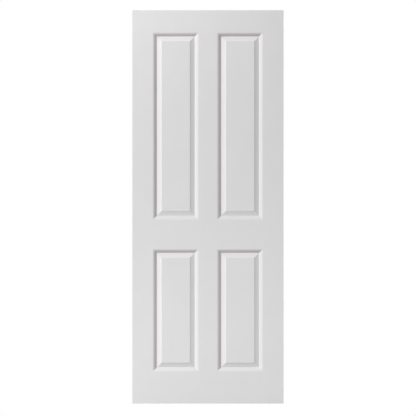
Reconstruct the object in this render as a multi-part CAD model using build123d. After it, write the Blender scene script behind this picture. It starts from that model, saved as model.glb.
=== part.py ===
from build123d import *
import os

# A four-panel moulded fire door leaf, as it is supplied, before hinges, lock and frame are fitted.
# Two pressed wood-fibre facings are glued over a softwood frame and a solid particle board core.
# Each facing is pressed into four raised panels, and the core is routed to fit behind them.
# The long edges and the head are lipped in hardwood, and a strip that swells in a fire lies
# in a groove behind each lipping.
# Lengths are in millimetres. Z is up, X runs along the width, and the front face looks along -Y.
# The origin is the middle of the leaf's foot.

# The leaf as a whole: 2 ft 6 in by 6 ft 6 in, in the thickness of a half-hour fire door.
leaf_width = 762.0
leaf_height = 1981.0
leaf_thickness = 44.0

# The pressed facings.
facing_thickness = 3.2
facing_arris = 0.8

# The flat margins seen on the face, out to where the moulding round each panel starts.
stile_margin = 105.0
muntin_margin = 96.0
top_margin = 113.0
lock_rail_margin = 150.0
bottom_margin = 163.0
lower_panel_height = 614.0

# The moulding's section: an ovolo down to the sunk line, then a ramp up to a small shoulder.
ovolo_width = 18.5
ovolo_bulge = 0.9
recess_depth = 9.0
valley_radius = 1.2
ramp_width = 18.5
shoulder_width = 6.0
shoulder_height = 3.2

# The softwood frame round the core.
stile_width = 32.0
top_rail_height = 32.0
bottom_rail_height = 45.0

# The lippings, and the fire strips behind them.
lipping_thickness = 8.0
fire_strip_width = 15.0
fire_strip_thickness = 4.0

# The flat wire staples that hold the frame's corners while the leaf is pressed.
staple_wire_width = 1.6
staple_wire_thickness = 1.4
staple_crown = 11.0
staple_leg = 16.0
staple_bend = 0.5
staple_point = 1.0
staple_sunk = 0.4
staples_per_corner = 2

# Sizes that follow from those above.
face_y = -leaf_thickness / 2
frame_depth = (face_y + facing_thickness, -face_y - facing_thickness)
frame_half_width = leaf_width / 2 - lipping_thickness
frame_height = leaf_height - lipping_thickness
core_half_width = frame_half_width - stile_width
core_top = frame_height - top_rail_height
strip_groove_x = frame_half_width - fire_strip_thickness
strip_groove_z = frame_height - fire_strip_thickness
moulding_width = ovolo_width + ramp_width + shoulder_width
panel_width = (leaf_width - 2 * stile_margin - muntin_margin) / 2
lower_panel_top = bottom_margin + lower_panel_height
upper_panel_bottom = lower_panel_top + lock_rail_margin
upper_panel_top = leaf_height - top_margin
panel_rows = ((bottom_margin, lower_panel_top), (upper_panel_bottom, upper_panel_top))
panel_columns = (
    (-muntin_margin / 2 - panel_width, -muntin_margin / 2),
    (muntin_margin / 2, muntin_margin / 2 + panel_width),
)


def block(x_range, y_range, z_range):
    """A plain rectangular solid between two limits on each axis."""
    limits = (x_range, y_range, z_range)
    sizes = [high - low for low, high in limits]
    middle = [(high + low) / 2 for low, high in limits]
    return Pos(*middle) * Box(*sizes)


def recess_section():
    """What the moulding takes out of the flat face, from the panel's edge inward, with the face at y 0."""
    face_edge = (0, 0)
    valley = (ovolo_width, -recess_depth)
    shoulder_foot = (ovolo_width + ramp_width, -shoulder_height)
    field_edge = (moulding_width, 0)
    outline = [
        SagittaArc(face_edge, valley, ovolo_bulge),
        Line(valley, shoulder_foot),
        Line(shoulder_foot, field_edge),
        Line(field_edge, face_edge),
    ]
    section = make_face(outline)
    valley_corner = section.vertices().sort_by(Axis.Y)[0]
    return fillet(valley_corner, valley_radius)


def backing_section(recess):
    """The recess with the facing's own thickness round it, cut off level with the face."""
    grown = offset(recess, facing_thickness, kind=Kind.ARC)
    below_face = Pos(moulding_width / 2, -leaf_thickness / 2) * Rectangle(2 * panel_width, leaf_thickness)
    return grown & below_face


def mitred_length(section, length, reach):
    """The left side of a panel's moulding, at reach from the panel's centre, with its ends mitred."""
    across_moulding = Plane(origin=(-reach, 0, 0), x_dir=(1, 0, 0), z_dir=(0, 0, -1))
    run = extrude(across_moulding * section, length, both=True)
    for end in (-1, 1):
        mitre = Plane(origin=(-reach, 0, end * length / 2), z_dir=(1, 0, end))
        run = split(run, bisect_by=mitre, keep=Keep.BOTTOM)
    return run


def moulding_ring(section, column, row):
    """A section carried round one panel of the front face, in four mitred lengths."""
    left, right = column
    bottom, top = row
    width, height = right - left, top - bottom
    upright = mitred_length(section, height, width / 2)
    level = mitred_length(section, width, height / 2)
    ring = upright + [Rot(0, 90, 0) * level, Rot(0, 180, 0) * upright, Rot(0, 270, 0) * level]
    return Pos((left + right) / 2, face_y, (bottom + top) / 2) * ring


def panel_rings(section):
    """The same section round all four panels."""
    return [moulding_ring(section, column, row) for column in panel_columns for row in panel_rows]


def turned_to_back(front_shape):
    """The leaf is the same from both faces, so the back is the front turned half round."""
    return front_shape.rotate(Axis.Z, 180)


def facing(recess_rings, backing_rings):
    """The front's pressed sheet, full size, which keeps its thickness through the mouldings."""
    sheet = block((-leaf_width / 2, leaf_width / 2), (face_y, face_y + facing_thickness), (0, leaf_height))
    outer_edges = sheet.edges().group_by(Axis.Y)[0]
    sheet = chamfer(outer_edges, facing_arris)
    return sheet + backing_rings - recess_rings


def core(backing_rings):
    """The particle board slab, routed on both faces so that the facings seat in it."""
    slab = block((-core_half_width, core_half_width), frame_depth, (bottom_rail_height, core_top))
    return slab - backing_rings - [turned_to_back(ring) for ring in backing_rings]


def staple_outline():
    """A staple seen from above, with its crown centred on the origin and its legs along +Y."""
    half_crown = staple_crown / 2
    outer_radius = staple_bend + staple_wire_thickness
    back = Rectangle(staple_crown, staple_leg, align=(Align.CENTER, Align.MIN))
    back = fillet(back.vertices().group_by(Axis.Y)[0], outer_radius)
    between_legs = Pos(0, staple_wire_thickness) * Rectangle(
        staple_crown - 2 * staple_wire_thickness, staple_leg, align=(Align.CENTER, Align.MIN)
    )
    between_legs = fillet(between_legs.vertices().group_by(Axis.Y)[0], staple_bend)
    outline = back - between_legs
    tips = outline.vertices().group_by(Axis.Y)[-1]
    inner_tips = [tip for tip in tips if abs(tip.X) < half_crown - staple_wire_thickness / 2]
    return chamfer(inner_tips, staple_point)


def staple(joint_x, height):
    """One staple, driven from the front across the joint of a rail and a stile, just below the surface."""
    crown_y = frame_depth[0] + staple_sunk
    return Pos(joint_x, crown_y, height) * extrude(staple_outline(), staple_wire_width / 2, both=True)


def staple_slot(joint_x, height):
    """The wood above the crown, which the driver punches out."""
    half_crown, half_wire = staple_crown / 2, staple_wire_width / 2
    depth = staple_sunk + staple_bend + staple_wire_thickness
    return block(
        (joint_x - half_crown, joint_x + half_crown),
        (frame_depth[0], frame_depth[0] + depth),
        (height - half_wire, height + half_wire),
    )


def staple_places():
    """The staples' joints and heights: a column of them at each end of both rails."""
    places = []
    for low, high in ((0, bottom_rail_height), (core_top, frame_height)):
        spacing = (high - low) / staples_per_corner
        for number in range(staples_per_corner):
            height = low + (number + 0.5) * spacing
            places += [(side * core_half_width, height) for side in (-1, 1)]
    return places


def side_ranges(inner, outer):
    """The same distance range from the centre, on the left and on the right."""
    return {"left": (-outer, -inner), "right": (inner, outer)}


def sub_parts():
    """Every piece of the leaf, by name."""
    recess = recess_section()
    recess_rings = panel_rings(recess)
    backing_rings = panel_rings(backing_section(recess))
    front_facing = facing(recess_rings, backing_rings)
    staples = [staple(*place) for place in staple_places()]
    staple_seats = staples + [staple_slot(*place) for place in staple_places()]
    strip_depth = (-fire_strip_width / 2, fire_strip_width / 2)

    pieces = {
        "front_facing": front_facing,
        "back_facing": turned_to_back(front_facing),
        "core": core(backing_rings),
        "corner_staples": Compound(children=staples),
    }

    top_strip = block((-strip_groove_x, strip_groove_x), strip_depth, (strip_groove_z, frame_height))
    pieces["top_fire_strip"] = top_strip
    for side, strip_range in side_ranges(strip_groove_x, frame_half_width).items():
        pieces[side + "_fire_strip"] = block(strip_range, strip_depth, (0, frame_height))

    for side, stile_range in side_ranges(core_half_width, frame_half_width).items():
        stile = block(stile_range, frame_depth, (0, frame_height))
        pieces[side + "_stile"] = stile - pieces[side + "_fire_strip"] - top_strip - staple_seats

    rail_range = (-core_half_width, core_half_width)
    top_rail = block(rail_range, frame_depth, (core_top, frame_height))
    pieces["top_rail"] = top_rail - top_strip - staple_seats
    bottom_rail = block(rail_range, frame_depth, (0, bottom_rail_height))
    pieces["bottom_rail"] = bottom_rail - staple_seats

    for side, lipping_range in side_ranges(frame_half_width, leaf_width / 2).items():
        pieces[side + "_lipping"] = block(lipping_range, frame_depth, (0, leaf_height))
    top_lipping_range = (-frame_half_width, frame_half_width)
    pieces["top_lipping"] = block(top_lipping_range, frame_depth, (frame_height, leaf_height))
    return pieces


os.makedirs("parts", exist_ok=True)
for name, piece in sub_parts().items():
    export_step(piece, f"parts/{name}.step")
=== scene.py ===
import math

import bmesh
import bpy
import numpy as np
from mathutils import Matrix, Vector


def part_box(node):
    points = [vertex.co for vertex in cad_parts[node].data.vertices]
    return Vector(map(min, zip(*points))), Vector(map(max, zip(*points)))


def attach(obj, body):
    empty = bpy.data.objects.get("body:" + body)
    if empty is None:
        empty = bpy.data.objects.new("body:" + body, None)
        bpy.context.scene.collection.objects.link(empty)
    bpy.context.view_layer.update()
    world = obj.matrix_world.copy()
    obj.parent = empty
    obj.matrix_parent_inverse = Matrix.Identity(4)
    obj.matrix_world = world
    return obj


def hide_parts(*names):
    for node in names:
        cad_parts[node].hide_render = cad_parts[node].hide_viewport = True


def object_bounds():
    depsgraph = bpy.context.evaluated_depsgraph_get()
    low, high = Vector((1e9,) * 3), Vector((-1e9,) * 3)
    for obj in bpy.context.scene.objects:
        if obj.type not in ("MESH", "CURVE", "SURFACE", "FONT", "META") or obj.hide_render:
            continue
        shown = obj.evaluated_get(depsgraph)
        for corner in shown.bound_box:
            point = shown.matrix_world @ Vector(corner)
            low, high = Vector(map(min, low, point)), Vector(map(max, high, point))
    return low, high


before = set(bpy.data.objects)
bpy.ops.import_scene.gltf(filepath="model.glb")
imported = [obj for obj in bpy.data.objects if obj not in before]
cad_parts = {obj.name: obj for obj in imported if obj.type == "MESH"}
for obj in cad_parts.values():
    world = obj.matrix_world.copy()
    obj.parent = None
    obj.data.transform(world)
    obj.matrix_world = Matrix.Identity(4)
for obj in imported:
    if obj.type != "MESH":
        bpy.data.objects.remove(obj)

cad_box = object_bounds()


# Camera. The leaf is seen square on and from far back, as a catalogue picture shows it, so its sides stay
# upright and its edges don't show. It nearly fills the picture's height.
picture_side_px = 416
leaf_height_px = 393.4
leaf_centre_px = (207.9, 206.9)
lens_mm = 110
sensor_mm = 36
quarter_turn = math.radians(90)

leaf_low, leaf_high = cad_box
leaf_height = leaf_high.z
metres_per_px = leaf_height / leaf_height_px
picture_side = picture_side_px * metres_per_px
picture_centre_px = picture_side_px / 2
distance_to_face = picture_side * lens_mm / sensor_mm

camera_data = bpy.data.cameras.new("catalogue_camera")
camera_data.lens = lens_mm
camera_data.sensor_width = sensor_mm
camera = bpy.data.objects.new("catalogue_camera", camera_data)
bpy.context.scene.collection.objects.link(camera)
bpy.context.scene.camera = camera
camera.location = (
    (picture_centre_px - leaf_centre_px[0]) * metres_per_px,
    leaf_low.y - distance_to_face,
    leaf_height / 2 - (picture_centre_px - leaf_centre_px[1]) * metres_per_px,
)
camera.rotation_euler = (quarter_turn, 0, 0)


# Light. One soft box low on the left rakes across the face and draws the mouldings, and one high on the
# left keys it. Small ones lift the head and the foot, one lights the back, and the white room fills in the
# rest.
room_glow = 0.63
picture_white = 1.0
white = (1.0, 1.0, 1.0, 1.0)


def soft_box(name, place, aim, width, height, watts):
    """An area light that faces its aim and isn't seen itself."""
    light = bpy.data.lights.new(name, "AREA")
    light.shape = "RECTANGLE"
    light.size = width
    light.size_y = height
    light.energy = watts
    box = bpy.data.objects.new(name, light)
    bpy.context.scene.collection.objects.link(box)
    box.location = place
    box.rotation_euler = (Vector(aim) - Vector(place)).to_track_quat("-Z", "Y").to_euler()
    box.visible_camera = False


def fill(tree, socket, value):
    """A socket takes another node's output, or a number or colour of its own."""
    if isinstance(value, bpy.types.NodeSocket):
        tree.links.new(value, socket)
    else:
        socket.default_value = value


def put(tree, kind, settings=None, **sockets):
    """A shader node with its settings made and its named sockets filled."""
    node = tree.nodes.new("ShaderNode" + kind)
    for name, value in (settings or {}).items():
        setattr(node, name, value)
    for name, value in sockets.items():
        fill(tree, node.inputs[name.replace("_", " ")], value)
    return node


def fill_in_order(tree, node, *values):
    """The first output of a node whose sockets are filled one after another."""
    for socket, value in zip(node.inputs, values):
        fill(tree, socket, value)
    return node.outputs[0]


def mix_shaders(tree, share, first, second):
    """The first shader at a share of 0, the second at a share of 1."""
    return fill_in_order(tree, put(tree, "MixShader"), share, first, second)


soft_box("left_box", (-6.3, -2.9, 0.3), aim=(0.0, 0.0, 0.3), width=1.6, height=0.5, watts=208)
soft_box("key_box", (-4.2, -3.8, 6.0), aim=(0.0, 0.0, 1.0), width=1.6, height=1.6, watts=134)
soft_box("head_box", (-0.7, -1.1, 2.7), aim=(-0.2, 0.0, 1.95), width=0.8, height=0.3, watts=4.4)
soft_box("left_foot_box", (-0.6, -1.2, 0.12), aim=(-0.1, 0.0, 0.05), width=0.8, height=0.2, watts=2.3)
soft_box("right_foot_box", (1.0, -1.6, 0.15), aim=(0.2, 0.0, 0.08), width=1.0, height=0.3, watts=3.8)
soft_box("back_box", (5.0, 3.6, 2.4), aim=(0.0, 0.0, 1.0), width=1.6, height=1.6, watts=320)

room = bpy.data.worlds.new("white_room")
room.use_nodes = True
bpy.context.scene.world = room
tree = room.node_tree
tree.nodes.clear()
out = put(tree, "OutputWorld")
ray = put(tree, "LightPath").outputs
lit_room = put(tree, "Background", Color=white, Strength=room_glow)
backdrop = put(tree, "Background", Color=white, Strength=picture_white)
whole_room = mix_shaders(tree, ray["Is Camera Ray"], lit_room.outputs[0], backdrop.outputs[0])
tree.links.new(whole_room, out.inputs["Surface"])

bpy.context.scene.view_settings.view_transform = "Standard"


# Floor. A plain white sheet, a hair below the foot, that runs into the white behind it. It throws little
# light back up, so that the mouldings keep their shade. From below, and close under the foot, it is seen
# through.
floor_half_side = 30.0
floor_drop = 0.0005
floor_bounce = (0.15, 0.15, 0.15, 1.0)
seen_through_within = 0.002


def maths(tree, operation, *values):
    """The output of one sum on numbers or outputs."""
    return fill_in_order(tree, put(tree, "Math", {"operation": operation}), *values)


def new_finish(name):
    """An empty material with its node tree and its output."""
    finish = bpy.data.materials.new(name)
    finish.use_nodes = True
    finish.node_tree.nodes.clear()
    return finish, finish.node_tree, put(finish.node_tree, "OutputMaterial")


def link_piece(name, mesh, finish):
    """A mesh takes its finish and joins the scene."""
    mesh.materials.append(finish)
    piece = bpy.data.objects.new(name, mesh)
    bpy.context.scene.collection.objects.link(piece)
    return piece


floor_finish, tree, out = new_finish("white_floor")
ray = put(tree, "LightPath").outputs
side = put(tree, "NewGeometry").outputs
shaded = put(tree, "BsdfDiffuse", Color=floor_bounce)
bright = put(tree, "Emission", Color=white, Strength=picture_white)
clear = put(tree, "BsdfTransparent")
from_above = mix_shaders(tree, ray["Is Camera Ray"], shaded.outputs[0], bright.outputs[0])
under_foot = maths(tree, "LESS_THAN", ray["Ray Length"], seen_through_within)
see_through = maths(tree, "MAXIMUM", under_foot, side["Backfacing"])
whole_floor = mix_shaders(tree, see_through, from_above, clear.outputs[0])
tree.links.new(whole_floor, out.inputs["Surface"])

floor_mesh = bpy.data.meshes.new("floor")
floor_signs = ((-1, -1), (1, -1), (1, 1), (-1, 1))
floor_corners = [(x * floor_half_side, y * floor_half_side, -floor_drop) for x, y in floor_signs]
floor_mesh.from_pydata(floor_corners, [], [(0, 1, 2, 3)])
floor = link_piece("floor", floor_mesh, floor_finish)


# Softwood frame. Two stiles and two rails of sawn redwood make the frame that the core lies in. The growth
# rings run round a pith outside each board, so that faces and ends show the grain that they should.
early_wood_colour = (0.66, 0.44, 0.24, 1)
late_wood_colour = (0.40, 0.20, 0.08, 1)
late_wood_sharpness = 3.0
ring_closes_from = 0.93
waver_stretch = (6, 6, 0.9)
strand_stretch = (1, 1, 0.04)
fibre_height = 0.7
redwood_ring_width = 0.0034
redwood_fleck = 0.35
saw_mark_depth = 0.0002
along_the_leaf = (0, 0, 0)
across_the_leaf = (0, quarter_turn, 0)
board_grain = {
    "left_stile": (along_the_leaf, (-0.31, 0.06, 0)),
    "right_stile": (along_the_leaf, (0.39, -0.05, 0)),
    "top_rail": (across_the_leaf, (1.99, -0.07, 0)),
    "bottom_rail": (across_the_leaf, (0.03, 0.05, 0)),
}


def two_colours(tree, share, first, second):
    """A colour between two, by a share."""
    node = put(tree, "Mix", {"data_type": "RGBA"})
    colour_sockets = (node.inputs[0], node.inputs[6], node.inputs[7])
    for socket, value in zip(colour_sockets, (share, first, second)):
        fill(tree, socket, value)
    return node.outputs[2]


def vector_maths(tree, operation, *values):
    """The output of one sum on places, directions or colours."""
    return fill_in_order(tree, put(tree, "VectorMath", {"operation": operation}), *values)


def new_effect(name, inputs, outputs):
    """An empty node group with these sockets, and its two end nodes."""
    tree = bpy.data.node_groups.new(name, "ShaderNodeTree")
    for socket_name, kind, default in inputs:
        socket = tree.interface.new_socket(socket_name, in_out="INPUT", socket_type="NodeSocket" + kind)
        socket.default_value = default
    for socket_name, kind in outputs:
        tree.interface.new_socket(socket_name, in_out="OUTPUT", socket_type="NodeSocket" + kind)
    return tree, tree.nodes.new("NodeGroupInput").outputs, tree.nodes.new("NodeGroupOutput").inputs


def use_effect(tree, effect, **sockets):
    """The outputs of an effect that is placed in a material with its own values."""
    return put(tree, "Group", {"node_tree": effect}, **sockets).outputs


def surfaced(tree, out, **sockets):
    """The material's own shader, filled and joined to its output."""
    shader = put(tree, "BsdfPrincipled", **sockets)
    tree.links.new(shader.outputs[0], out.inputs["Surface"])


def dress(node, finish):
    """A solid from the frame keeps its shape and takes a finish."""
    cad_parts[node].material_slots[0].material = finish


timber_grain, given, made = new_effect(
    "timber_grain",
    [("Point", "Vector", (0, 0, 0)), ("Pith", "Vector", (0, 0, 0)), ("Ring Width", "Float", 0.003),
     ("Waver", "Float", 0.004), ("Fibre Width", "Float", 0.0006)],
    [("Rings", "Float"), ("Fibre", "Float"), ("Height", "Float")],
)
drift = put(timber_grain, "Mapping", Vector=given["Point"], Scale=waver_stretch)
wander = put(timber_grain, "TexNoise", Vector=drift.outputs[0], Scale=3, Detail=3)
bend = maths(timber_grain, "MULTIPLY", wander.outputs[0], given["Waver"])
from_pith = vector_maths(timber_grain, "SUBTRACT", given["Point"], given["Pith"])
across = vector_maths(timber_grain, "MULTIPLY", from_pith, (1, 1, 0))
radius = put(timber_grain, "VectorMath", {"operation": "LENGTH"}, Vector=across).outputs["Value"]
bent_radius = maths(timber_grain, "ADD", radius, bend)
ring_count = maths(timber_grain, "DIVIDE", bent_radius, given["Ring Width"])
in_ring = maths(timber_grain, "FRACT", ring_count)
late_wood = maths(timber_grain, "POWER", in_ring, late_wood_sharpness)
ring_end = put(timber_grain, "MapRange", Value=in_ring, From_Min=ring_closes_from, From_Max=1.0,
               To_Min=1.0, To_Max=0.0)
rings = maths(timber_grain, "MULTIPLY", late_wood, ring_end.outputs[0])
strands = put(timber_grain, "Mapping", Vector=given["Point"], Scale=strand_stretch)
fibres_per_metre = maths(timber_grain, "DIVIDE", 1.0, given["Fibre Width"])
fibre = put(timber_grain, "TexNoise", Vector=strands.outputs[0], Scale=fibres_per_metre, Detail=2)
raised_fibre = maths(timber_grain, "MULTIPLY", fibre.outputs[0], fibre_height)
timber_grain.links.new(rings, made["Rings"])
timber_grain.links.new(fibre.outputs[0], made["Fibre"])
timber_grain.links.new(maths(timber_grain, "ADD", raised_fibre, rings), made["Height"])


def redwood(name, grain, pith):
    """Sawn redwood with its grain turned to run as the board does."""
    finish, tree, out = new_finish(name)
    place = put(tree, "TexCoord").outputs["Object"]
    turned = put(tree, "Mapping", Vector=place, Rotation=grain)
    wood = use_effect(tree, timber_grain, Point=turned.outputs[0], Pith=pith,
                      Ring_Width=redwood_ring_width)
    ringed = two_colours(tree, wood["Rings"], early_wood_colour, late_wood_colour)
    fleck = maths(tree, "MULTIPLY", wood["Fibre"], redwood_fleck)
    flecked = two_colours(tree, fleck, ringed, late_wood_colour)
    sawn = put(tree, "Bump", Height=wood["Height"], Strength=0.5, Distance=saw_mark_depth)
    rough = put(tree, "MapRange", Value=wood["Fibre"], To_Min=0.6, To_Max=0.85)
    surfaced(tree, out, Base_Color=flecked, Roughness=rough.outputs[0], Normal=sawn.outputs[0])
    return finish


for board, (grain, pith) in board_grain.items():
    dress(board, redwood("redwood_" + board, grain, pith))


# Corner staples. Zinc coated wire with a flat crown, driven into the frame's joints to hold them while the
# leaf is in the press.
zinc_colour = (0.58, 0.60, 0.63, 1)
dull_zinc_colour = (0.42, 0.44, 0.47, 1)
zinc_roughness = 0.42
spangles_per_metre = 1400
draw_marks_per_metre = 2500
draw_mark_depth = 0.00002

zinc, tree, out = new_finish("zinc_wire")
place = put(tree, "TexCoord").outputs["Object"]
spangle = put(tree, "TexVoronoi", Vector=place, Scale=spangles_per_metre)
drawn = put(tree, "TexNoise", Vector=place, Scale=draw_marks_per_metre, Detail=2)
zinc_tone = two_colours(tree, spangle.outputs["Distance"], zinc_colour, dull_zinc_colour)
wire_bump = put(tree, "Bump", Height=drawn.outputs[0], Strength=0.3, Distance=draw_mark_depth)
surfaced(tree, out, Base_Color=zinc_tone, Metallic=1.0, Roughness=zinc_roughness,
         Normal=wire_bump.outputs[0])
dress("corner_staples", zinc)


# Core. A slab of particle board, pressed from wood chips and resin. The chips lie flat in it, as they do in
# any pressed board, and both of its faces are routed to take the backs of the mouldings.
chip_colours = ((0.50, 0.33, 0.18, 1), (0.72, 0.55, 0.34, 1))
resin_colour = (0.33, 0.21, 0.12, 1)
resin_reach = 0.06
most_resin = 0.8
board_roughness = 0.85
chips_per_metre = 230
chip_stretch = (1, 3.2, 1)
jumbles_per_metre = 160
jumble_reach = (0.004, 0.004, 0.004)
chip_relief = 0.0004

chips, tree, out = new_finish("pressed_chips")
place = put(tree, "TexCoord").outputs["Object"]
laid_flat = put(tree, "Mapping", Vector=place, Scale=chip_stretch).outputs[0]
jumble = put(tree, "TexNoise", Vector=laid_flat, Scale=jumbles_per_metre, Detail=2)
strewn = vector_maths(tree, "MULTIPLY_ADD", jumble.outputs["Color"], jumble_reach, laid_flat)
chip = put(tree, "TexVoronoi", Vector=strewn, Scale=chips_per_metre)
chip_edge = put(tree, "TexVoronoi", {"feature": "DISTANCE_TO_EDGE"}, Vector=strewn, Scale=chips_per_metre)
from_edge = chip_edge.outputs["Distance"]
chip_tint = two_colours(tree, chip.outputs["Color"], *chip_colours)
gap = put(tree, "MapRange", Value=from_edge, From_Max=resin_reach, To_Min=most_resin, To_Max=0.0)
board_tint = two_colours(tree, gap.outputs[0], chip_tint, resin_colour)
board_bump = put(tree, "Bump", Height=from_edge, Strength=0.4, Distance=chip_relief)
surfaced(tree, out, Base_Color=board_tint, Roughness=board_roughness, Normal=board_bump.outputs[0])
dress("core", chips)


# Fire strips. Flat extruded strips of graphite in a binder, which swell to seal the gap in a fire. They lie
# in grooves round the frame, and only the sawn ends of the two long ones show, at the foot.
strip_colour = (0.028, 0.028, 0.031, 1)
graphite_fleck_colour = (0.16, 0.16, 0.17, 1)
strip_roughness = 0.75
fleck_roughness = 0.4
flakes_per_metre = 2600
flake_reach = 0.22
flake_relief = 0.0001

graphite, tree, out = new_finish("graphite_strip")
place = put(tree, "TexCoord").outputs["Object"]
from_flake = put(tree, "TexVoronoi", Vector=place, Scale=flakes_per_metre).outputs["Distance"]
fleck = put(tree, "MapRange", Value=from_flake, From_Max=flake_reach, To_Min=1.0, To_Max=0.0).outputs[0]
strip_tint = two_colours(tree, fleck, strip_colour, graphite_fleck_colour)
strip_rough = put(tree, "MapRange", Value=fleck, To_Min=strip_roughness, To_Max=fleck_roughness)
strip_bump = put(tree, "Bump", Height=from_flake, Strength=0.4, Distance=flake_relief)
surfaced(tree, out, Base_Color=strip_tint, Roughness=strip_rough.outputs[0],
         Normal=strip_bump.outputs[0])
for strip in ("left_fire_strip", "right_fire_strip", "top_fire_strip"):
    dress(strip, graphite)


# Lippings. Hardwood strips glued over the fire strips, on both long edges and along the head. The long ones
# are primed with the leaf. Their ends and the head's top are left raw, with a little primer carried over.
primer_colour = (0.80, 0.79, 0.795, 1)
primer_mottle = 0.012
mottles_per_metre = 7
peel_per_metre = 800
waves_per_metre = 16
wave_over_peel = 4.0
primer_relief = 0.00008
carried_over = 0.0012
ragged_per_metre = 420
end_skin = 0.001
end_tilt = 0.5
kerf_stretch = (1, 0.03, 1)
kerfs_per_metre = 900
hardwood_colours = ((0.50, 0.30, 0.17, 1), (0.20, 0.10, 0.045, 1))
hardwood_roughness = 0.6
hardwood_ring_width = 0.0022
hardwood_waver = 0.003
hardwood_fibre_width = 0.0004
hardwood_ring_share = 0.75
hardwood_pore_share = 0.5
lipping_ease = 0.0002
lipping_sharp_degrees = 60
lipping_grain = {
    "left_lipping": (along_the_leaf, (-0.35, 0.05, 0), "primed_lipping"),
    "right_lipping": (along_the_leaf, (0.34, 0.04, 0), "primed_lipping"),
    "top_lipping": (across_the_leaf, (1.95, 0.05, 0), "hardwood"),
}
leaf_half_width = leaf_high.x
leaf_half_thickness = leaf_high.y

sprayed_primer, given, made = new_effect(
    "sprayed_primer",
    [("Point", "Vector", (0, 0, 0)), ("Primer", "Color", primer_colour),
     ("Mottle", "Float", primer_mottle)],
    [("Color", "Color"), ("Roughness", "Float"), ("Height", "Float")],
)
broad = put(sprayed_primer, "TexNoise", Vector=given["Point"], Scale=mottles_per_metre, Detail=4,
            Roughness=0.6)
random_wobble = put(sprayed_primer, "MapRange", Value=broad.outputs[0], From_Min=0.25, From_Max=0.75,
             To_Min=-1.0, To_Max=1.0)
tone = maths(sprayed_primer, "MULTIPLY_ADD", random_wobble.outputs[0], given["Mottle"], 1.0)
toned = put(sprayed_primer, "VectorMath", {"operation": "SCALE"}, Vector=given["Primer"], Scale=tone)
sheen = put(sprayed_primer, "MapRange", Value=broad.outputs[0], To_Min=0.52, To_Max=0.62)
peel = put(sprayed_primer, "TexNoise", Vector=given["Point"], Scale=peel_per_metre, Detail=2)
wave = put(sprayed_primer, "TexNoise", Vector=given["Point"], Scale=waves_per_metre, Detail=1)
relief = maths(sprayed_primer, "MULTIPLY_ADD", wave.outputs[0], wave_over_peel, peel.outputs[0])
sprayed_primer.links.new(toned.outputs[0], made["Color"])
sprayed_primer.links.new(sheen.outputs[0], made["Roughness"])
sprayed_primer.links.new(relief, made["Height"])

raw_end, given, made = new_effect(
    "raw_end",
    [("Half Width", "Float", leaf_half_width), ("Half Thickness", "Float", leaf_half_thickness),
     ("Height", "Float", leaf_height), ("Carry Over", "Float", carried_over)],
    [("Raw", "Float"), ("Saw Marks", "Float")],
)
place = put(raw_end, "TexCoord").outputs
spot = put(raw_end, "SeparateXYZ", Vector=place["Object"]).outputs
normal = put(raw_end, "SeparateXYZ", Vector=place["Normal"]).outputs
from_head = maths(raw_end, "SUBTRACT", given["Height"], spot["Z"])
at_end = maths(raw_end, "LESS_THAN", maths(raw_end, "MINIMUM", spot["Z"], from_head), end_skin)
level = maths(raw_end, "GREATER_THAN", maths(raw_end, "ABSOLUTE", normal["Z"]), end_tilt)
end_on = maths(raw_end, "MULTIPLY", at_end, level)
from_edge = maths(raw_end, "SUBTRACT", given["Half Width"], maths(raw_end, "ABSOLUTE", spot["X"]))
from_face = maths(raw_end, "SUBTRACT", given["Half Thickness"], maths(raw_end, "ABSOLUTE", spot["Y"]))
inward = maths(raw_end, "MINIMUM", from_edge, from_face)
ragged = put(raw_end, "TexNoise", Vector=place["Object"], Scale=ragged_per_metre, Detail=4)
reach = maths(raw_end, "MULTIPLY", ragged.outputs[0], given["Carry Over"])
bare_part = maths(raw_end, "GREATER_THAN", inward, reach)
saw_path = put(raw_end, "Mapping", Vector=place["Object"], Scale=kerf_stretch)
kerf = put(raw_end, "TexNoise", Vector=saw_path.outputs[0], Scale=kerfs_per_metre, Detail=1)
raw_end.links.new(maths(raw_end, "MULTIPLY", end_on, bare_part), made["Raw"])
raw_end.links.new(kerf.outputs[0], made["Saw Marks"])


def primed_over(tree, out, place, raw_colour, raw_roughness, raw_height, primer=primer_colour):
    """Primer where the leaf was sprayed, and the bare material on its sawn ends."""
    coat = use_effect(tree, sprayed_primer, Point=place, Primer=primer)
    end = use_effect(tree, raw_end)
    colour = two_colours(tree, end["Raw"], coat["Color"], raw_colour)
    rough = put(tree, "MapRange", Value=end["Raw"], To_Min=coat["Roughness"], To_Max=raw_roughness)
    coat_bump = put(tree, "Bump", Height=coat["Height"], Strength=0.25, Distance=primer_relief)
    sawn = maths(tree, "MULTIPLY", maths(tree, "ADD", raw_height, end["Saw Marks"]), end["Raw"])
    bump = put(tree, "Bump", Height=sawn, Strength=0.5, Distance=saw_mark_depth,
               Normal=coat_bump.outputs[0])
    surfaced(tree, out, Base_Color=colour, Roughness=rough.outputs[0], Normal=bump.outputs[0])


def hardwood(name, grain, pith):
    """Close grained hardwood, primed wherever it isn't cut across."""
    finish, tree, out = new_finish(name)
    place = put(tree, "TexCoord").outputs["Object"]
    turned = put(tree, "Mapping", Vector=place, Rotation=grain)
    wood = use_effect(tree, timber_grain, Point=turned.outputs[0], Pith=pith, Waver=hardwood_waver,
                      Ring_Width=hardwood_ring_width, Fibre_Width=hardwood_fibre_width)
    light, dark = hardwood_colours
    rings = maths(tree, "MULTIPLY", wood["Rings"], hardwood_ring_share)
    pores = maths(tree, "MULTIPLY", wood["Fibre"], hardwood_pore_share)
    ringed = two_colours(tree, rings, light, dark)
    pored = two_colours(tree, pores, ringed, dark)
    primed_over(tree, out, place, pored, hardwood_roughness, wood["Height"])
    return finish


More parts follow.
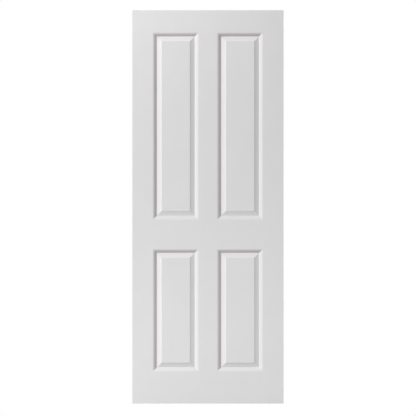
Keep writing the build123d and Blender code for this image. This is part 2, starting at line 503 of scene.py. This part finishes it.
def shaped_piece(name, bm, finish, sharp_degrees):
    """A modelled piece, shaded smooth up to a sharp angle, with its wide flat faces kept flat."""
    bmesh.ops.recalc_face_normals(bm, faces=bm.faces)
    mesh = bpy.data.meshes.new(name)
    bm.to_mesh(mesh)
    bm.free()
    piece = link_piece(name, mesh, finish)
    mesh.shade_smooth()
    mesh.set_sharp_from_angle(angle=math.radians(sharp_degrees))
    weighted = piece.modifiers.new("flat_faces_lead", "WEIGHTED_NORMAL")
    weighted.keep_sharp = True
    return piece


def planed_strip(low, high):
    """A strip between two corners, with its arrises just taken off."""
    bm = bmesh.new()
    bmesh.ops.create_cube(bm, size=1)
    for vertex in bm.verts:
        vertex.co = Vector((low + high) / 2) + vertex.co * Vector(high - low)
    bmesh.ops.bevel(bm, geom=bm.edges[:], affect="EDGES", offset=lipping_ease, segments=2, profile=0.5)
    return bm


for node, (grain, pith, record_slot) in lipping_grain.items():
    finish = hardwood("hardwood_" + node, grain, pith)
    strip = planed_strip(*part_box(node))
    lipping = shaped_piece(node + "_strip", strip, finish, lipping_sharp_degrees)
    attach(lipping, "root")
    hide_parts(node)


# Facings. Each is one sheet of wood fibre, wet pressed between hot plates into four raised panels, glued to
# the frame and core, then sprayed with primer. The press leaves every line of the moulding slightly soft.
stile_margin = 0.105
muntin_margin = 0.096
top_margin = 0.113
lock_rail_margin = 0.150
bottom_margin = 0.163
lower_panel_height = 0.614
ovolo_width = 0.0185
ovolo_bulge = 0.0009
recess_depth = 0.009
ramp_width = 0.0185
shoulder_width = 0.006
shoulder_height = 0.0032
facing_thickness = 0.0032
facing_arris = 0.0008
arris_steps = 6
facing_sharp_degrees = 40
press_softness = 0.0007
press_samples = 41
underside_samples = 161
underside_steps = 48
underside_spare = 0.0015
mitre_softness = 0.0015
mitre_steps = 4
edge_from = -0.0008
edge_until = 0.0012
line_reach = 0.001
flat_reach = 0.002
fibre_colours = ((0.27, 0.165, 0.09, 1), (0.17, 0.10, 0.055, 1))
fibre_roughness = 0.8
felt_stretch = (0.15, 1, 0.15)
felt_fibres_per_metre = 5000
# Painted shade: the colour below darkens the primer on each ovolo's steep foot where it turns away from the
# light.
painted_shade_colour = (0.56, 0.515, 0.505, 1)
painted_shade_from = -0.002
painted_shade_fullest_from = 0.012
painted_shade_fullest_until = 0.0155
turned_away_below = -0.4
turned_to_light_above = 0.1
least_shade_towards_light = 0.2
least_shade_wobble = 0.85
shade_wobbles_per_metre = 9

panel_width = leaf_half_width - stile_margin - muntin_margin / 2
panel_lefts = (-muntin_margin / 2 - panel_width, muntin_margin / 2)
lower_panel_top = bottom_margin + lower_panel_height
upper_panel_bottom = lower_panel_top + lock_rail_margin
panel_heights = ((bottom_margin, lower_panel_top), (upper_panel_bottom, leaf_height - top_margin))
panels = [(left, left + panel_width, low, high) for left in panel_lefts for low, high in panel_heights]
shoulder_in = ovolo_width + ramp_width
moulding_width = shoulder_in + shoulder_width


def drawn_depth(inset):
    """How deep the drawing's ovolo, ramp and shoulder lie, at an inset from the panel's edge."""
    chord = math.hypot(ovolo_width, recess_depth)
    radius = chord**2 / (8 * ovolo_bulge) + ovolo_bulge / 2
    back_off = (radius - ovolo_bulge) / chord
    centre_in = ovolo_width / 2 - recess_depth * back_off
    centre_depth = recess_depth / 2 + ovolo_width * back_off
    on_ovolo = centre_depth - np.sqrt(radius**2 - np.clip(inset - centre_in, 0, radius) ** 2)
    lines_in = [ovolo_width, shoulder_in, moulding_width]
    on_ramp = np.interp(inset, lines_in, [recess_depth, shoulder_height, 0])
    depth = np.where(inset < ovolo_width, on_ovolo, on_ramp)
    return np.where(inset < 0, 0, depth)


def pressed_depth(insets):
    """The depth after pressing, where each line of the drawing is rounded over."""
    spread = np.linspace(-press_softness, press_softness, press_samples)
    return drawn_depth(np.add.outer(insets, spread)).mean(axis=1)


def underside_depth(insets):
    """The depth of the sheet's back, one thickness away from the nearest point of its face."""
    aside = np.linspace(-facing_thickness, facing_thickness, underside_samples)
    face = pressed_depth(np.add.outer(insets, aside).ravel()).reshape(len(insets), -1)
    return (face + np.sqrt(facing_thickness**2 - aside**2)).max(axis=1)


def ring_round(panel, inset, square):
    """Points round a panel, inset from its edge, with softly mitred or square corners."""
    left, right, low, high = panel
    reach_x = (right - left) / 2 - inset - mitre_softness
    reach_z = (high - low) / 2 - inset - mitre_softness
    points = []
    for quarter in range(4):
        side_x = 1 if quarter in (0, 3) else -1
        side_z = 1 if quarter in (0, 1) else -1
        for step in range(mitre_steps + 1):
            angle = quarter_turn * (quarter + step / mitre_steps)
            turn_x, turn_z = math.cos(angle), math.sin(angle)
            if square:
                stretch = max(abs(turn_x), abs(turn_z))
                turn_x, turn_z = turn_x / stretch, turn_z / stretch
            points.append((
                (left + right) / 2 + side_x * reach_x + mitre_softness * turn_x,
                (low + high) / 2 + side_z * reach_z + mitre_softness * turn_z,
            ))
    return points


def in_a_panel(x, z, inset):
    """Whether a place on the face lies within a panel's edge, taken in by an inset."""
    return any(left + inset < x < right - inset and low + inset < z < high - inset
               for left, right, low, high in panels)


def lines_through(points, axis):
    """The separate places of some points along one axis, in order."""
    return sorted({round(point[axis], 7) for point in points})


def strip_between(bm, first, second):
    """Faces between two closed rows of as many vertices."""
    for here in range(len(first)):
        after = (here + 1) % len(first)
        bm.faces.new((first[here], first[after], second[after], second[here]))


class Skin:
    """One surface of a facing, with flat margins, rings down through each moulding, and flat fields."""

    def __init__(self, bm, insets, depths, outline_inset):
        self.bm = bm
        self.vertices = {}
        corners = [point for panel in panels for point in ring_round(panel, insets[0], square=True)]
        self.xs = [-leaf_half_width + outline_inset, *lines_through(corners, 0),
                   leaf_half_width - outline_inset]
        self.zs = [outline_inset, *lines_through(corners, 1), leaf_height - outline_inset]
        self.fill_flat(self.xs, self.zs, depths[0], margin_inset=insets[0])
        for panel in panels:
            self.sink_moulding(panel, insets, depths)

    def vertex(self, x, z, depth):
        """The vertex at a place, made once and shared by the faces that meet there."""
        key = (round(x, 6), round(z, 6), round(depth, 6))
        if key not in self.vertices:
            self.vertices[key] = self.bm.verts.new((x, depth - leaf_half_thickness, z))
        return self.vertices[key]

    def fill_flat(self, xs, zs, depth, margin_inset=None):
        """Flat faces on a grid. Margins leave the panels out, up to an inset from their edges."""
        for left, right in zip(xs, xs[1:]):
            for low, high in zip(zs, zs[1:]):
                middle_x, middle_z = (left + right) / 2, (low + high) / 2
                if margin_inset is not None and in_a_panel(middle_x, middle_z, margin_inset):
                    continue
                corners = ((left, low), (right, low), (right, high), (left, high))
                self.bm.faces.new([self.vertex(x, z, depth) for x, z in corners])

    def sink_moulding(self, panel, insets, depths):
        """The rings of one moulding, square where they meet the flats, and the field inside them."""
        last = len(insets) - 1
        rows = []
        for number, (inset, depth) in enumerate(zip(insets, depths)):
            ring = ring_round(panel, inset, square=number in (0, last))
            rows.append([self.vertex(x, z, depth) for x, z in ring])
        for outer, inner in zip(rows, rows[1:]):
            strip_between(self.bm, outer, inner)
        field = ring_round(panel, insets[-1], square=True)
        self.fill_flat(lines_through(field, 0), lines_through(field, 1), depths[-1])

    def outline(self, outline_inset, depth):
        """The vertices round the sheet's edge, at an inset from the leaf's own outline."""
        xs = [-leaf_half_width + outline_inset, *self.xs[1:-1], leaf_half_width - outline_inset]
        zs = [outline_inset, *self.zs[1:-1], leaf_height - outline_inset]
        round_edge = [(x, zs[0]) for x in xs[:-1]] + [(xs[-1], z) for z in zs[:-1]]
        round_edge += [(x, zs[-1]) for x in xs[:0:-1]] + [(xs[0], z) for z in zs[:0:-1]]
        return [self.vertex(x, z, depth) for x, z in round_edge]


def inset_lines(*stretches):
    """Insets for a skin's rings, with each stretch given by its start, its end and its steps."""
    lines = [np.linspace(start, end, steps, endpoint=False) for start, end, steps in stretches]
    return np.append(np.concatenate(lines), stretches[-1][1])


def facing_sheet(turn):
    """A closed sheet of face, rounded arris, sawn edge and underside. A turn of -1 makes the back one."""
    bm = bmesh.new()
    face_insets = inset_lines(
        (-flat_reach, edge_from, 2),
        (edge_from, edge_until, 5),
        (edge_until, ovolo_width - line_reach, 14),
        (ovolo_width - line_reach, ovolo_width + line_reach, 8),
        (ovolo_width + line_reach, shoulder_in - line_reach, 5),
        (shoulder_in - line_reach, moulding_width + line_reach, 14),
        (moulding_width + line_reach, moulding_width + flat_reach, 1),
    )
    under_reach = facing_thickness + underside_spare
    under_insets = inset_lines((-under_reach, moulding_width + under_reach, underside_steps))
    face = Skin(bm, face_insets, pressed_depth(face_insets), facing_arris)
    under = Skin(bm, under_insets, underside_depth(under_insets), lipping_ease)
    rows = []
    for step in range(arris_steps + 1):
        angle = quarter_turn * step / arris_steps
        out_by = facing_arris * math.sin(angle)
        down_by = facing_arris * (1 - math.cos(angle))
        rows.append(face.outline(facing_arris - out_by, down_by))
    rows.append(face.outline(0, facing_thickness - lipping_ease))
    rows.append(under.outline(lipping_ease, facing_thickness))
    for upper, lower in zip(rows, rows[1:]):
        strip_between(bm, upper, lower)
    for vertex in bm.verts:
        vertex.co.x *= turn
        vertex.co.y *= turn
    return bm


def inset_from_panel(tree, spot):
    """How far in from its panel's edge a point of the face lies, for all four panels at once."""
    panel_middle = (muntin_margin + panel_width) / 2
    off_column = maths(tree, "SUBTRACT", maths(tree, "ABSOLUTE", spot["X"]), panel_middle)
    from_side = maths(tree, "SUBTRACT", panel_width / 2, maths(tree, "ABSOLUTE", off_column))
    from_ends = []
    for low, high in panel_heights:
        off_row = maths(tree, "SUBTRACT", spot["Z"], (low + high) / 2)
        from_ends.append(maths(tree, "SUBTRACT", (high - low) / 2, maths(tree, "ABSOLUTE", off_row)))
    return maths(tree, "MINIMUM", from_side, maths(tree, "MAXIMUM", *from_ends))


def primer_with_painted_shade(tree, place):
    """The primer's colour, with painted shade on the steep foot of each ovolo.

    The foot is darkened towards the sunk line wherever it turns down or to the right, away from the light,
    and the pattern is mirrored on the back. This is painted shade, made a little uneven by broad noise."""
    spot = put(tree, "SeparateXYZ", Vector=place).outputs
    normal = put(tree, "SeparateXYZ", Vector=put(tree, "TexCoord").outputs["Normal"]).outputs
    inset = inset_from_panel(tree, spot)
    shade_starts = put(tree, "MapRange", Value=inset, From_Min=painted_shade_from, From_Max=painted_shade_fullest_from)
    shade_ends = put(tree, "MapRange", Value=inset, From_Min=painted_shade_fullest_until, From_Max=ovolo_width,
                 To_Min=1.0, To_Max=0.0)
    faces_light_sideways = maths(tree, "MULTIPLY", normal["X"], maths(tree, "SIGN", spot["Y"]))
    faces_light = maths(tree, "ADD", faces_light_sideways, normal["Z"])
    turned_from_light = put(tree, "MapRange", Value=faces_light, From_Min=turned_away_below, From_Max=turned_to_light_above,
                    To_Min=1.0, To_Max=least_shade_towards_light)
    random_wobble = put(tree, "TexNoise", Vector=place, Scale=shade_wobbles_per_metre, Detail=2)
    uneven_shade = put(tree, "MapRange", Value=random_wobble.outputs[0], From_Min=0.3, From_Max=0.7,
                 To_Min=least_shade_wobble, To_Max=1.0)
    shade_on_ovolo_foot = maths(tree, "MULTIPLY", shade_starts.outputs[0], shade_ends.outputs[0])
    shade_turned_from_light = maths(tree, "MULTIPLY", shade_on_ovolo_foot, turned_from_light.outputs[0])
    painted_shade = maths(tree, "MULTIPLY", shade_turned_from_light, uneven_shade.outputs[0])
    return two_colours(tree, painted_shade, primer_colour, painted_shade_colour)


primed_fibre, tree, out = new_finish("primed_fibre")
place = put(tree, "TexCoord").outputs["Object"]
felt = put(tree, "Mapping", Vector=place, Scale=felt_stretch)
fibres = put(tree, "TexNoise", Vector=felt.outputs[0], Scale=felt_fibres_per_metre, Detail=4).outputs[0]
fibre_colour = two_colours(tree, fibres, *fibre_colours)
# The face's primer carries painted shade on the foot of each ovolo.
primer = primer_with_painted_shade(tree, place)
primed_over(tree, out, place, fibre_colour, fibre_roughness, fibres, primer)

half_turns = {"front_facing": 1, "back_facing": -1}
for node, turn in half_turns.items():
    sheet = facing_sheet(turn)
    facing = shaped_piece(node + "_sheet", sheet, primed_fibre, facing_sharp_degrees)
    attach(facing, "root")
    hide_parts(node)
